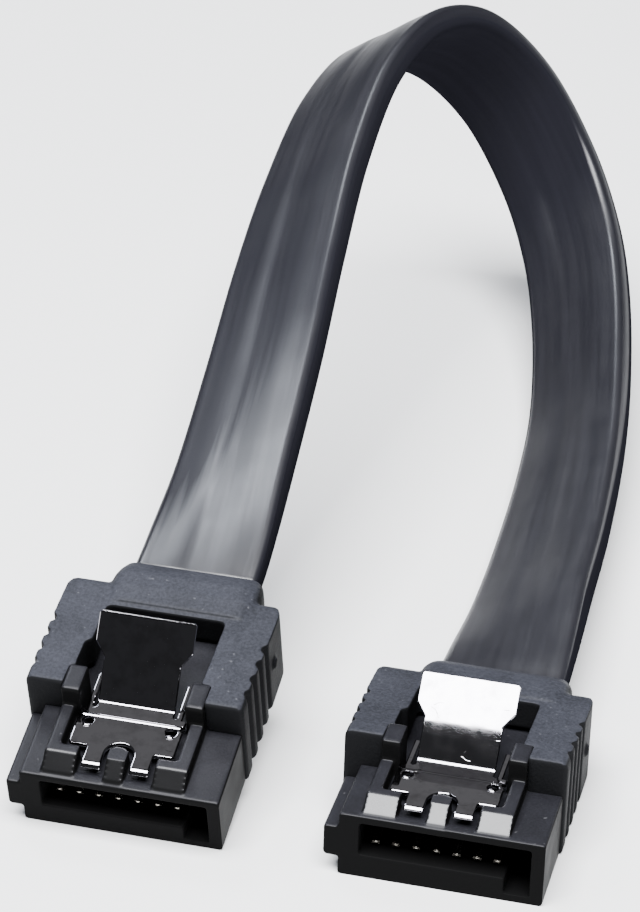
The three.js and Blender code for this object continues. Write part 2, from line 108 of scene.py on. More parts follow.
def make_camera():
    level = math.cos(VIEW_ELEVATION)
    back = Vector(
        (
            math.sin(VIEW_AZIMUTH) * level,
            -math.cos(VIEW_AZIMUTH) * level,
            math.sin(VIEW_ELEVATION),
        )
    )
    right = Vector((math.cos(VIEW_AZIMUTH), math.sin(VIEW_AZIMUTH), 0))
    up = back.cross(right)
    turn = Matrix((right, up, back)).transposed().to_4x4()
    data = bpy.data.cameras.new("camera")
    data.lens = LENS
    data.clip_start = NEAREST_SEEN
    data.clip_end = FARTHEST_SEEN
    camera = bpy.data.objects.new("camera", data)
    camera.matrix_world = (
        Matrix.Translation(VIEW_TARGET + back * VIEW_DISTANCE)
        @ turn
        @ Matrix.Rotation(VIEW_ROLL, 4, "Z")
    )
    bpy.context.scene.collection.objects.link(camera)
    bpy.context.scene.camera = camera
    return camera


camera = make_camera()
print("camera stands at", tuple(round(v, 4) for v in camera.location))

# %% [markdown]
# ## The ribbon's route
#
# The ribbon leaves the first plug, climbs into an arch, turns over at the back and comes down to the
# second plug along the table. Its width also leans, because a flat cable can't bend edgewise: to turn
# sideways it has to roll over. So each point holds a place in metres and the lean of the width from
# level in degrees. A Catmull-Rom spline passes through every point, which suits a route given point
# by point.

# %% Ribbon route
RIBBON_WIDTH = 8.3 * MM
RIBBON_THICKNESS = 2.1 * MM
NECK_ACROSS = 0.5 * MM
NECK_BACK = 18.1 * MM
EXIT_LEVEL = 3.8 * MM
SEAM = 0.3 * MM
RIBBON_LEAD = 3.0 * MM
SPLINE_STEPS = 16

ROUTE = [
    (-0.0099, 0.0188, 0.0119, 16),
    (-0.0104, 0.0281, 0.0151, 20),
    (-0.0110, 0.0373, 0.0186, 25),
    (-0.0114, 0.0466, 0.0218, 31),
    (-0.0112, 0.0563, 0.0244, 33),
    (-0.0098, 0.0651, 0.0250, 32),
    (-0.0069, 0.0722, 0.0226, 35),
    (-0.0029, 0.0752, 0.0178, 37),
    (0.0011, 0.0737, 0.0123, 36),
    (0.0042, 0.0688, 0.0083, 35),
    (0.0064, 0.0616, 0.0057, 36),
    (0.0082, 0.0520, 0.0038, 36),
    (0.0093, 0.0421, 0.0030, 30),
    (0.0100, 0.0311, 0.0028, 24),
    (0.0104, 0.0211, 0.0033, 20),
]
FIRST_LEAD_LEAN = ROUTE[0][3] / 4
SECOND_LEAD_LEAN = ROUTE[-1][3] / 3


def exit_points(plug):
    """The point just behind a plug's neck, and one a short way straight out from it."""
    return [
        plug_place[plug] @ Vector((NECK_ACROSS, NECK_BACK + SEAM + out, EXIT_LEVEL))
        for out in (0, RIBBON_LEAD)
    ]


def catmull_rom(values, steps):
    """Points of the spline through the values, with the same number of steps between each pair."""
    first = 2 * values[0] - values[1]
    last = 2 * values[-1] - values[-2]
    v = np.array([first, *values, last])
    t = np.linspace(0, 1, steps, endpoint=False)
    t = t.reshape((-1,) + (1,) * (v.ndim - 1))
    runs = []
    for a, b, c, d in zip(v, v[1:], v[2:], v[3:]):
        start, end = (c - a) / 2, (d - b) / 2
        bend = (2 * b - 2 * c + start + end) * t**3
        runs.append(bend + (3 * c - 3 * b - 2 * start - end) * t**2 + start * t + b)
    return np.concatenate([*runs, values[-1:]])


first_end, first_lead = exit_points("first")
second_end, second_lead = exit_points("second")
route_points = np.array(
    [first_end, first_lead, *[row[:3] for row in ROUTE], second_lead, second_end]
)
route_leans = np.array(
    [0, FIRST_LEAD_LEAN, *[row[3] for row in ROUTE], SECOND_LEAD_LEAN, 0], float
)
centre_line = catmull_rom(route_points, SPLINE_STEPS)
lean_line = np.radians(catmull_rom(route_leans, SPLINE_STEPS))
steps = np.linalg.norm(np.diff(centre_line, axis=0), axis=1)
distance_along = np.concatenate([[0], np.cumsum(steps)])

# %% [markdown]
# ## The ribbon's jacket
#
# Inside the flat jacket two pairs of wires lie side by side, so each broad face is two low crowns
# with a shallow valley between them, and the edges are round. One section with these forms is
# carried along the route. A texture map is written as the mesh is made: U runs round the section
# and V along the ribbon, both in metres, so that streaks in the finish can follow the cable.

# %% Ribbon section
CROWN = 0.05 * MM
VALLEY = 0.03 * MM
VALLEY_PLACE = -0.7 * MM
VALLEY_SPREAD = 0.35 * MM
RIBBON_EDGE_RADIUS = 0.55 * MM


def ribbon_section(face_steps=26, edge_steps=6):
    """Section points as (across, outward), anticlockwise from the lower left corner."""
    half = RIBBON_WIDTH / 2 - RIBBON_EDGE_RADIUS
    x = np.linspace(-half, half, face_steps)
    crown = CROWN * np.sin(np.pi * (x + half) / half) ** 2
    valley = VALLEY * np.exp(-(((x - VALLEY_PLACE) / VALLEY_SPREAD) ** 2))
    face = RIBBON_THICKNESS / 2 - CROWN + crown - valley
    bottom = np.column_stack([x, -face])
    top = np.column_stack([x[::-1], face[::-1]])
    turn = np.linspace(-np.pi / 2, np.pi / 2, 2 * edge_steps + 1)[1:-1]
    flat = RIBBON_THICKNESS / 2 - CROWN - RIBBON_EDGE_RADIUS
    lift = np.sign(turn) * flat
    right = np.column_stack(
        [half + RIBBON_EDGE_RADIUS * np.cos(turn), lift + RIBBON_EDGE_RADIUS * np.sin(turn)]
    )
    left = right[::-1] * [-1, 1]
    return np.concatenate([bottom, right, top, left])


print("ribbon section has", len(ribbon_section()), "points")

# %% [markdown]
# The sweep turns the section square to the route at every ring and keeps its width at the asked
# lean. The piece reaches a little way into both necks, so that no gap shows where it leaves them.

# %% Ribbon sweep
REACH = 0.45 * MM


def outward_faces(mesh):
    shape = bmesh.new()
    shape.from_mesh(mesh)
    bmesh.ops.recalc_face_normals(shape, faces=shape.faces)
    shape.to_mesh(mesh)
    shape.free()


def sweep(name, section, line, leans, along):
    """A closed mesh of the section carried along the line, its width leaning as asked."""
    tangent = np.gradient(line, axis=0)
    tangent /= np.linalg.norm(tangent, axis=1)[:, None]
    level = np.column_stack([np.cos(leans), np.zeros(len(leans)), np.sin(leans)])
    across = level - (level * tangent).sum(1)[:, None] * tangent
    across /= np.linalg.norm(across, axis=1)[:, None]
    outward = np.cross(across, tangent)
    size = len(section)
    verts = (
        line[:, None]
        + section[None, :, :1] * across[:, None]
        + section[None, :, 1:] * outward[:, None]
    ).reshape(-1, 3)
    faces = []
    for ring_start in range(0, (len(line) - 1) * size, size):
        for i in range(size):
            j = (i + 1) % size
            a, b = ring_start, ring_start + size
            faces.append((a + i, b + i, b + j, a + j))
    last = (len(line) - 1) * size
    faces.append(tuple(range(size)))
    faces.append(tuple(range(last + size - 1, last - 1, -1)))
    mesh = bpy.data.meshes.new(name)
    mesh.from_pydata(verts.tolist(), [], faces)
    uv = mesh.uv_layers.new(name="along")
    around = np.concatenate([[0], np.cumsum(np.linalg.norm(np.diff(section, axis=0), axis=1))])
    for loop in mesh.loops:
        ring, i = divmod(loop.vertex_index, size)
        uv.data[loop.index].uv = (around[i], along[ring])
    mesh.polygons.foreach_set("use_smooth", [True] * (len(mesh.polygons) - 2) + [False] * 2)
    outward_faces(mesh)
    return mesh


def show(name, data):
    """An object of this mesh, curve or light, linked to the scene."""
    obj = bpy.data.objects.new(name, data)
    bpy.context.scene.collection.objects.link(obj)
    return obj


ends = centre_line[[0, -1]] - centre_line[[1, -2]]
ends *= REACH / np.linalg.norm(ends, axis=1)[:, None]
shown_line = np.concatenate(
    [[centre_line[0] + ends[0]], centre_line[1:-1], [centre_line[-1] + ends[1]]]
)
jacket = sweep("ribbon_jacket", ribbon_section(), shown_line, lean_line, distance_along)
ribbon = show("ribbon_jacket", jacket)
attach(ribbon, ROOT)
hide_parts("ribbon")
print("ribbon has", len(ribbon.data.polygons), "faces")

# %% [markdown]
# ## Moulded pieces
#
# The solids have sharp edges and a thin gap where two moulded parts meet. The real parts are
# moulded onto each other, so the copies made here reach across that gap, and every edge is softened
# a little. The copies are made in the plug's own frame, in millimetres: X across, Y from the nose
# back to the ribbon, Z up. A fine even mesh is laid over each copy, and a few rounds of smoothing
# then turn its edges as a mould would.

# %% Mesh helpers
MERGE = 0.002

to_table = {plug: plug_place[plug] @ Matrix.Scale(MM, 4) for plug in PLUGS}


def solid_copy(node, plug):
    """A node's mesh with its corners merged, in the plug's own frame in millimetres."""
    mesh = nodes[node].data.copy()
    mesh.transform(to_table[plug].inverted() @ nodes[node].matrix_world)
    shape = bmesh.new()
    shape.from_mesh(mesh)
    bmesh.ops.remove_doubles(shape, verts=shape.verts, dist=MERGE)
    return shape, mesh


def plain_mesh(obj):
    """The object's mesh with its modifiers worked in; the object itself is removed."""
    view = bpy.context.evaluated_depsgraph_get()
    mesh = bpy.data.meshes.new_from_object(obj.evaluated_get(view), depsgraph=view)
    old = obj.data
    bpy.data.objects.remove(obj)
    bpy.data.batch_remove([old])
    return mesh


def shade_smooth(mesh):
    mesh.polygons.foreach_set("use_smooth", [True] * len(mesh.polygons))


def softened(name, mesh, cell, rounds):
    """The mesh laid over with even cells, its edges rounded by smoothing."""
    obj = show(name, mesh)
    cells = obj.modifiers.new("cells", "REMESH")
    cells.mode = "VOXEL"
    cells.voxel_size = cell
    soft = obj.modifiers.new("soft", "SMOOTH")
    soft.factor = 0.5
    soft.iterations = rounds
    fine = plain_mesh(obj)
    shade_smooth(fine)
    return fine


def place_pair(kind, mesh, body):
    """One piece for each plug from a mesh in the plug's frame, in place of the solids it shows."""
    made = {}
    for plug in PLUGS:
        own = mesh.copy()
        own.transform(to_table[plug])
        piece = show(f"{plug}_{kind}_piece", own)
        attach(piece, body[plug])
        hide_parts(f"{plug}_{kind}")
        made[plug] = piece
    return made


on_cable = dict.fromkeys(PLUGS, ROOT)
on_latch = {plug: f"{plug}_latch" for plug in PLUGS}
print("latches ride on", sorted(on_latch.values()))

# %% [markdown]
# ## The housings
#
# A housing is the smooth hard moulding that holds the contacts. On the real one the tongue between
# the prongs rises as steeply as the ramps beside it, so a block with their side view is laid over the
# lower one of the solid. Two marks are stored for the finish: the fronts of the ramps, which the
# socket rubs, and the faces that lie low in the housing, which keep the walls' dark painted shade and
# get no painted top light, dust or gloss.

# %% Housings
NOSE_LENGTH = 5.75
NOSE_GAP_FRONT = 5.45
SLIGHT = 0.03
NEAR = 0.02
TONGUE_HALF = 0.6
TONGUE_SIDE = [(0.35, 4.2), (2.3, 4.2), (2.3, 5.3), (1.5, 5.3), (0.35, 4.5)]
RUBBED_BACK = 1.5
RUBBED_LEVEL = 4.5
SHELTER_LEVEL = 3.2
HOUSING_CELL = 0.1
HOUSING_ROUNDS = 2


def add_tongue(shape):
    """A block across the middle with its side view given as (back, up) points."""
    near, far = (
        [shape.verts.new((x, y, z)) for y, z in TONGUE_SIDE] for x in (-TONGUE_HALF, TONGUE_HALF)
    )
    shape.faces.new(near[::-1])
    shape.faces.new(far)
    for i in range(len(near)):
        j = (i + 1) % len(near)
        shape.faces.new((near[i], near[j], far[j], far[i]))


def store_marks(mesh):
    """Stores what is rubbed and what is sheltered as numbers on the mesh's points."""
    back, up = np.array([corner.co[1:] for corner in mesh.vertices]).T
    rubbed = (back < RUBBED_BACK) & (up > RUBBED_LEVEL)
    for label, marks in (("rubbed", rubbed), ("sheltered", up < SHELTER_LEVEL)):
        layer = mesh.attributes.new(label, "FLOAT", "POINT")
        layer.data.foreach_set("value", marks.astype(np.float32))


def housing_mesh():
    """The housing with its tongue, and with the back of its nose moved on to meet the grip."""
    shape, mesh = solid_copy("second_housing", "second")
    for corner in shape.verts:
        if abs(corner.co.y - NOSE_GAP_FRONT) < NEAR:
            corner.co.y = NOSE_LENGTH + SLIGHT
    add_tongue(shape)
    bmesh.ops.recalc_face_normals(shape, faces=shape.faces)
    shape.to_mesh(mesh)
    shape.free()
    fine = softened("housing", mesh, HOUSING_CELL, HOUSING_ROUNDS)
    store_marks(fine)
    return fine


housings = place_pair("housing", housing_mesh(), on_cable)
print("housing has", len(housings["second"].data.polygons), "faces")

# %% [markdown]
# ## The grips
#
# A grip is the softer, duller moulding that fingers hold. Its solid has a gap round the housing's
# ridge and posts, which is closed here. It is also hollow where the back of the housing sits, so a
# block fills that hollow to just under the top of the part that shows through the grip's window.

# %% Grips
RIDGE_HALF = 4.6
POST_BACK = 7.5
DECK_TOP = 3.6
GAP = 0.3
FILL_MIDDLE = (0, 10.2, 2.0)
FILL_SIZE = (11.6, 8.2, 3.0)
GRIP_CELL = 0.105
GRIP_ROUNDS = 4


def grip_mesh():
    """The grip filled inside, with its front edges moved in to meet the ridge and the posts."""
    shape, mesh = solid_copy("second_grip", "second")
    for corner in shape.verts:
        x, y, z = corner.co
        if z > DECK_TOP and y < POST_BACK + GAP + NEAR:
            if abs(abs(x) - RIDGE_HALF - GAP) < NEAR:
                corner.co.x = math.copysign(RIDGE_HALF - SLIGHT, x)
            if abs(y - POST_BACK - GAP) < NEAR:
                corner.co.y = POST_BACK - SLIGHT
    for corner in bmesh.ops.create_cube(shape, size=1)["verts"]:
        corner.co = [m + s * c for m, s, c in zip(FILL_MIDDLE, FILL_SIZE, corner.co)]
    shape.to_mesh(mesh)
    shape.free()
    return softened("grip", mesh, GRIP_CELL, GRIP_ROUNDS)


grips = place_pair("grip", grip_mesh(), on_cable)
print("grip has", len(grips["second"].data.polygons), "faces")

# %% [markdown]
# ## The latch, seen from the side
#
# A latch is stamped flat from spring steel and then folded, and it is made the same way here. The
# side view is a line of (back, up) points: a curl at the front, a low bead, the fold and the tab,
# which bows a little so that its reflection changes along it. The distance along the line equals
# the distance back on the flat pattern, so each point of the pattern can be carried onto it.

# %% Latch side view
STEEL = 0.3
LATCH_LEVEL = 4.9
TAB_TOP_PLACE = np.array([10.2, 9.05])
FOLD_PLACE = np.array([6.2, 4.9])
FOLD_REACH = 0.2
CURL_FRONT = 0.98
CURL_MIDDLE = 1.12
CURL_BACK = 1.3
CURL_DROP = 0.2
BEAD_PLACE = 4.98
BEAD_HEIGHT = 0.035
BEAD_SPREAD = 0.055
TAB_BOW = 0.09
CURL_STEPS, FLAT_STEPS, FOLD_STEPS, TAB_STEPS = 16, 300, 12, 30
FOLD_TOP_LEVEL = 5.04
SHOULDER_LEVEL = 7.0


def quadratic(a, b, c, steps):
    t = np.linspace(0, 1, steps)[:, None]
    return (1 - t) ** 2 * a + 2 * t * (1 - t) * b + t**2 * c


def latch_line():
    """The side view, the distance along it at each point, and that distance where the fold ends."""
    level = LATCH_LEVEL
    curl = quadratic(
        np.array([CURL_FRONT, level - CURL_DROP]),
        np.array([CURL_MIDDLE, level]),
        np.array([CURL_BACK, level]),
        CURL_STEPS,
    )
    flat_back = np.linspace(CURL_BACK, FOLD_PLACE[0] - FOLD_REACH, FLAT_STEPS)[1:-1]
    bead = BEAD_HEIGHT * np.exp(-(((flat_back - BEAD_PLACE) / BEAD_SPREAD) ** 2))
    flat = np.column_stack([flat_back, level + bead])
    rise = TAB_TOP_PLACE - FOLD_PLACE
    rise /= np.linalg.norm(rise)
    fold_end = FOLD_PLACE + rise * FOLD_REACH
    fold = quadratic(FOLD_PLACE - [FOLD_REACH, 0], FOLD_PLACE, fold_end, FOLD_STEPS)
    t = np.linspace(0, 1, TAB_STEPS)[1:, None]
    out = np.array([-rise[1], rise[0]])
    tab = fold_end + (TAB_TOP_PLACE - fold_end) * t + out * TAB_BOW * 4 * t * (1 - t)
    line = np.concatenate([curl, flat, fold, tab])
    along = np.concatenate([[0], np.cumsum(np.linalg.norm(np.diff(line, axis=0), axis=1))])
    along = along - along[len(curl) - 1] + CURL_BACK
    return line, along, float(along[len(curl) + len(flat) + len(fold) - 1])


side_line, side_along, fold_end_along = latch_line()
latch_top_along = float(side_along[-1])
TAB_SLOPE = math.atan2(*(TAB_TOP_PLACE - FOLD_PLACE)[::-1])
shoulder_along = fold_end_along + (SHOULDER_LEVEL - FOLD_TOP_LEVEL) / math.sin(TAB_SLOPE)
print("latch strip is", round(latch_top_along - float(side_along[0]), 2), "mm long")

# %% [markdown]
# ## The latch, stamped flat
#
# The pattern is a filled curve, which Blender gives a thickness and slightly rounded cut edges: two
# prongs parted by an arch, two peg holes, two narrow side arms, and the tab with its shoulders.

# %% Latch pattern
LATCH_HALF = 3.4
PRONG_INNER = 0.95
ARCH_BACK = 2.1
ARM_OUTER, ARM_INNER = 3.08, 2.72
ARM_BACK = 8.5
TAB_FOOT_HALF, TAB_HALF = 2.5, 3.15
HOLE_ACROSS, HOLE_BACK, HOLE_RADIUS = 2.7, 4.5, 0.35
EDGE = 0.09
EDGE_STEPS = 2


def ring(x, y, radius, steps):
    turn = np.linspace(0, 2 * np.pi, steps, endpoint=False)
    return [(x + radius * math.cos(a), y + radius * math.sin(a)) for a in turn]


def latch_pattern():
    """The outline and the two holes as (across, back) points, from one drawn half."""
    front = float(side_along[0])
    right = [
        (PRONG_INNER, front),
        (2.1, front),
        (2.15, front + 0.05),
        (2.15, 2.4),
        (2.25, 2.5),
        (3.25, 2.5),
        (LATCH_HALF, 2.65),
        (LATCH_HALF, 4.6),
        (LATCH_HALF - 0.2, 4.8),
        (LATCH_HALF - 0.2, 4.95),
        (LATCH_HALF, 5.15),
        (LATCH_HALF, 5.5),
        (3.3, 5.6),
        (ARM_OUTER, 5.6),
        (ARM_OUTER, ARM_BACK - 0.1),
        (3.0, ARM_BACK),
        (2.8, ARM_BACK),
        (ARM_INNER, ARM_BACK - 0.1),
        (ARM_INNER, 5.75),
        (2.61, 5.66),
        (TAB_FOOT_HALF, 5.75),
        (TAB_FOOT_HALF, shoulder_along),
        (TAB_HALF, shoulder_along + (TAB_HALF - TAB_FOOT_HALF) / math.sin(TAB_SLOPE)),
        (TAB_HALF, latch_top_along - 0.15),
        (TAB_HALF - 0.15, latch_top_along),
    ]
    arch = [
        (PRONG_INNER * math.cos(a), ARCH_BACK + PRONG_INNER * math.sin(a))
        for a in np.linspace(math.pi, 0, 17)
    ]
    left = [(-x, y) for x, y in reversed(right)]
    holes = [ring(side * HOLE_ACROSS, HOLE_BACK, HOLE_RADIUS, 20) for side in (-1, 1)]
    return [right + left + arch, *holes]


def stamped_sheet():
    curve = bpy.data.curves.new("latch_pattern", "CURVE")
    curve.dimensions = "2D"
    curve.fill_mode = "BOTH"
    curve.extrude = STEEL / 2 - EDGE
    curve.bevel_depth = EDGE
    curve.bevel_resolution = EDGE_STEPS
    curve.offset = -EDGE
    for points in latch_pattern():
        spline = curve.splines.new("POLY")
        spline.points.add(len(points) - 1)
        for point, (x, y) in zip(spline.points, points):
            point.co = (x, y, 0, 1)
        spline.use_cyclic_u = True
    return plain_mesh(show("latch_pattern", curve))


print("latch pattern has", len(latch_pattern()[0]), "corners")

# %% [markdown]
# ## The latch, folded
#
# Cuts across the flat sheet let it bend: close together at the curl, the bead and the fold, and
# further apart on the tab. Every point is then carried onto the side view, except those of the side
# arms, which stay straight. The broad faces would still mirror unevenly if their shading came from
# the mesh, so their normals are worked out from the side view instead. A raised lip in front of
# each peg hole is a small smooth blob.

# %% Latch folding
SAME_PLACE = 0.0005
CURL_CUTS = (*side_along[1 : CURL_STEPS - 1], CURL_BACK + 0.03)
BEAD_CUTS = np.arange(4.8, 5.17, 0.018)
FOLD_CUTS = (5.97, *np.arange(5.99, fold_end_along + 0.03, 0.03))
TAB_CUTS = np.arange(fold_end_along + 0.06, latch_top_along, 0.15)
ARM_GAP_ACROSS, ARM_FRONT = 2.6, 5.5
LIP_BACK = 4.08
LIP_SINK = 0.02
LIP_SIZE = (0.26, 0.15, 0.11)
NO_SHEET = 9.0
SHEET_FACING = 0.97
SHARP_ANGLE = math.radians(28)


def in_tab(x, along):
    return abs(x) <= TAB_HALF + EDGE and along >= shoulder_along - 0.05 and along > ARM_BACK


def in_arm(x, along):
    beside_tab = abs(x) > ARM_GAP_ACROSS and ARM_FRONT < along < ARM_BACK + 0.1
    return beside_tab and not in_tab(x, along)


def cut_across(shape):
    for place in (*CURL_CUTS, *BEAD_CUTS, *FOLD_CUTS, *TAB_CUTS):
        everything = [*shape.verts, *shape.edges, *shape.faces]
        bmesh.ops.bisect_plane(
            shape, geom=everything, dist=SAME_PLACE, plane_co=(0, place, 0), plane_no=(0, 1, 0)
        )


def fold_sheet(shape, turn):
    """Carries the sheet onto the side view, and stores how far each point of it is turned."""
    slope = np.gradient(side_line, side_along, axis=0)
    slope /= np.linalg.norm(slope, axis=1)[:, None]
    for corner in shape.verts:
        x, along, height = corner.co
        if in_arm(x, along):
            corner.co = (x, along, LATCH_LEVEL + height)
            continue
        back, up = (np.interp(along, side_along, side_line[:, i]) for i in (0, 1))
        run, climb = (np.interp(along, side_along, slope[:, i]) for i in (0, 1))
        corner.co = (x, back - climb * height, up + run * height)
        corner[turn] = math.atan2(climb, run)


def add_ball(shape, middle, size, around, rows):
    """A ball squashed to this size, whose points are given back."""
    ball = bmesh.ops.create_uvsphere(shape, u_segments=around, v_segments=rows, radius=1)["verts"]
    for corner in ball:
        corner.co = [m + s * c for m, s, c in zip(middle, size, corner.co)]
    return ball


def give_sheet_normals(mesh):
    """Normals taken from the side view on both broad sides, so that the flats mirror cleanly."""
    turns = mesh.attributes["turn"].data
    normals = [None] * len(mesh.loops)
    for face in mesh.polygons:
        for i in face.loop_indices:
            corner = mesh.loops[i].vertex_index
            turn = turns[corner].value
            sheet = Vector((0, -math.sin(turn), math.cos(turn)))
            facing = face.normal.dot(sheet)
            if turn == NO_SHEET:
                normals[i] = mesh.vertices[corner].normal.copy()
            elif abs(facing) > SHEET_FACING:
                normals[i] = sheet if facing > 0 else -sheet
            else:
                normals[i] = Vector((0, 0, 0))
    mesh.attributes.remove(mesh.attributes["turn"])
    mesh.normals_split_custom_set(normals)


def latch_mesh():
    mesh = stamped_sheet()
    shape = bmesh.new()
    shape.from_mesh(mesh)
    bmesh.ops.remove_doubles(shape, verts=shape.verts, dist=SAME_PLACE)
    cut_across(shape)
    turn = shape.verts.layers.float.new("turn")
    fold_sheet(shape, turn)
    lip_level = LATCH_LEVEL + STEEL / 2 - LIP_SINK
    for side in (-1, 1):
        for corner in add_ball(shape, (side * HOLE_ACROSS, LIP_BACK, lip_level), LIP_SIZE, 16, 10):
            corner[turn] = NO_SHEET
    bmesh.ops.recalc_face_normals(shape, faces=shape.faces)
    shape.to_mesh(mesh)
    shape.free()
    shade_smooth(mesh)
    mesh.set_sharp_from_angle(angle=SHARP_ANGLE)
    give_sheet_normals(mesh)
    return mesh


latches = place_pair("latch", latch_mesh(), on_latch)
print("latch has", len(latches["second"].data.polygons), "faces")

# %% [markdown]
# ## The contacts
#
# Only the tips of the contacts show, as bright dots in the dark mouth. Each is a thin blade that
# bows up to press on the socket, swept here along its side view, with a small round bead for a tip
# where the light catches it.

# %% One blade
BLADE_BACK = [1.15, 1.5, 2.05, 2.6, 3.15, 4.15, 5.5, 7.7]
BLADE_BOW = [0, 0.1, 0.2, 0.16, 0.08, 0, 0, 0]
BLADE_LEVEL = 1.97
BLADE_STEPS = 43
BLADE_HALF, BLADE_THIN = 0.25, 0.1
BLADE_SHARP_ANGLE = math.radians(35)
TIP_MIDDLE = (0, 1.17, 2.0)
TIP_SIZE = (0.16, 0.12, 0.14)


def blade_line():
    """The blade's side view as (back, up) points, its bends eased by one round of averaging."""
    where = np.linspace(0, len(BLADE_BACK) - 1, BLADE_STEPS)
    given = np.arange(len(BLADE_BACK))
    up = BLADE_LEVEL + np.array(BLADE_BOW)
    line = np.column_stack([np.interp(where, given, BLADE_BACK), np.interp(where, given, up)])
    line[1:-1] = (line[:-2] + 2 * line[1:-1] + line[2:]) / 4
    return line


def blade_mesh():
    half, thin = BLADE_HALF, BLADE_THIN
    section = np.array(
        [(-half, -thin), (half, -thin), (half, 0.04), (0.17, thin), (-0.17, thin), (-half, 0.04)]
    )
    shape = bmesh.new()
    rows = []
    for back, up in blade_line():
        rows.append([shape.verts.new((x, back, up + z)) for x, z in section])
    for row, after in zip(rows, rows[1:]):
        for i in range(len(section)):
            j = (i + 1) % len(section)
            shape.faces.new((row[i], row[j], after[j], after[i]))
    shape.faces.new(rows[0][::-1])
    shape.faces.new(rows[-1])
    add_ball(shape, TIP_MIDDLE, TIP_SIZE, 14, 8)
    bmesh.ops.recalc_face_normals(shape, faces=shape.faces)
    mesh = bpy.data.meshes.new("blade")
    shape.to_mesh(mesh)
    shape.free()
    shade_smooth(mesh)
    mesh.set_sharp_from_angle(angle=BLADE_SHARP_ANGLE)
    return mesh


print("blade's side view has", len(blade_line()), "points")

# %% [markdown]
# Seven alike blades stand in a row at an even pitch, so one blade is made and a Geometry Nodes
# tree sets out the rest. The tree's count, pitch and finish are inputs of its own.

# %% Row of blades
CONTACT_PITCH = 1.27
CONTACT_COUNT = 7


def row_tree():
    """Copies of the incoming mesh in an even row along X, centred on where it stands."""
    tree = bpy.data.node_groups.new("row_of_blades", "GeometryNodeTree")
    sockets = tree.interface
    sockets.new_socket("Geometry", in_out="INPUT", socket_type="NodeSocketGeometry")
    count = sockets.new_socket("Count", in_out="INPUT", socket_type="NodeSocketInt")
    pitch = sockets.new_socket("Pitch", in_out="INPUT", socket_type="NodeSocketFloat")
    finish = sockets.new_socket("Finish", in_out="INPUT", socket_type="NodeSocketMaterial")
    sockets.new_socket("Geometry", in_out="OUTPUT", socket_type="NodeSocketGeometry")
    made, link = tree.nodes.new, tree.links.new
    inputs, outputs = made("NodeGroupInput"), made("NodeGroupOutput")
    step, start = made("ShaderNodeCombineXYZ"), made("ShaderNodeCombineXYZ")
    gaps, whole_row, back_half = (made("ShaderNodeMath") for _ in range(3))
    gaps.operation = "SUBTRACT"
    gaps.inputs[1].default_value = 1
    whole_row.operation = "MULTIPLY"
    back_half.operation = "MULTIPLY"
    back_half.inputs[1].default_value = -0.5
    line = made("GeometryNodeMeshLine")
    line.mode = "OFFSET"
    spread = made("GeometryNodeInstanceOnPoints")
    real = made("GeometryNodeRealizeInstances")
    paint = made("GeometryNodeSetMaterial")
    link(inputs.outputs["Count"], line.inputs["Count"])
    link(inputs.outputs["Pitch"], step.inputs["X"])
    link(step.outputs["Vector"], line.inputs["Offset"])
    link(inputs.outputs["Count"], gaps.inputs[0])
    link(gaps.outputs["Value"], whole_row.inputs[0])
    link(inputs.outputs["Pitch"], whole_row.inputs[1])
    link(whole_row.outputs["Value"], back_half.inputs[0])
    link(back_half.outputs["Value"], start.inputs["X"])
    link(start.outputs["Vector"], line.inputs["Start Location"])
    link(line.outputs["Mesh"], spread.inputs["Points"])
    link(inputs.outputs["Geometry"], spread.inputs["Instance"])
    link(spread.outputs["Instances"], real.inputs["Geometry"])
    link(real.outputs["Geometry"], paint.inputs["Geometry"])
    link(inputs.outputs["Finish"], paint.inputs["Material"])
    link(paint.outputs["Geometry"], outputs.inputs["Geometry"])
    return tree, count.identifier, pitch.identifier, finish.identifier


def blade_row(finish):
    tree, count, pitch, material = row_tree()
    obj = show("blade_row", blade_mesh())
    rows = obj.modifiers.new("row", "NODES")
    rows.node_group = tree
    rows[count] = CONTACT_COUNT
    rows[pitch] = CONTACT_PITCH
    rows[material] = finish
    return plain_mesh(obj)


print("a row is", round((CONTACT_COUNT - 1) * CONTACT_PITCH, 2), "mm from first blade to last")

# %% [markdown]
# ## Building finishes from nodes
#
# Every finish is procedural: it reads the object's own coordinates, the ribbon's map, the marks on
# the housing or the way a face looks. The helpers here each add one node and give back its output,
# so that a finish further on reads like a sum.

# %% Node helpers
def new_material(name):
    material = bpy.data.materials.new(name)
    material.use_nodes = True
    shader = material.node_tree.nodes["Principled BSDF"]
    return material, material.node_tree, shader


def dress(obj, material):
    obj.data.materials.clear()
    obj.data.materials.append(material)


def feed(tree, socket, value):
    """Links the value to the socket if it is another node's output, and sets it if it isn't."""
    if isinstance(value, bpy.types.NodeSocket):
        tree.links.new(value, socket)
    else:
        socket.default_value = value


def noise(tree, vector, scale, detail=3, roughness=0.6):
    node = tree.nodes.new("ShaderNodeTexNoise")
    node.inputs["Detail"].default_value = detail
    node.inputs["Roughness"].default_value = roughness
    tree.links.new(vector, node.inputs["Vector"])
    feed(tree, node.inputs["Scale"], scale)
    return node.outputs["Fac"]


def remap(tree, value, low, high, to_low, to_high):
    """The value moved from one range to another and held inside it."""
    node = tree.nodes.new("ShaderNodeMapRange")
    labels = ("From Min", "From Max", "To Min", "To Max")
    for label, number in zip(labels, (low, high, to_low, to_high)):
        node.inputs[label].default_value = number
    tree.links.new(value, node.inputs["Value"])
    return node.outputs["Result"]


def combine(tree, operation, a, b):
    node = tree.nodes.new("ShaderNodeMath")
    node.operation = operation
    for socket, value in zip(node.inputs, (a, b)):
        feed(tree, socket, value)
    return node.outputs["Value"]


def raised(tree, height, distance, under=None):
    """A bumped normal, over another one if that is given."""
    node = tree.nodes.new("ShaderNodeBump")
    node.inputs["Distance"].default_value = distance
    tree.links.new(height, node.inputs["Height"])
    if under is not None:
        tree.links.new(under, node.inputs["Normal"])
    return node.outputs["Normal"]


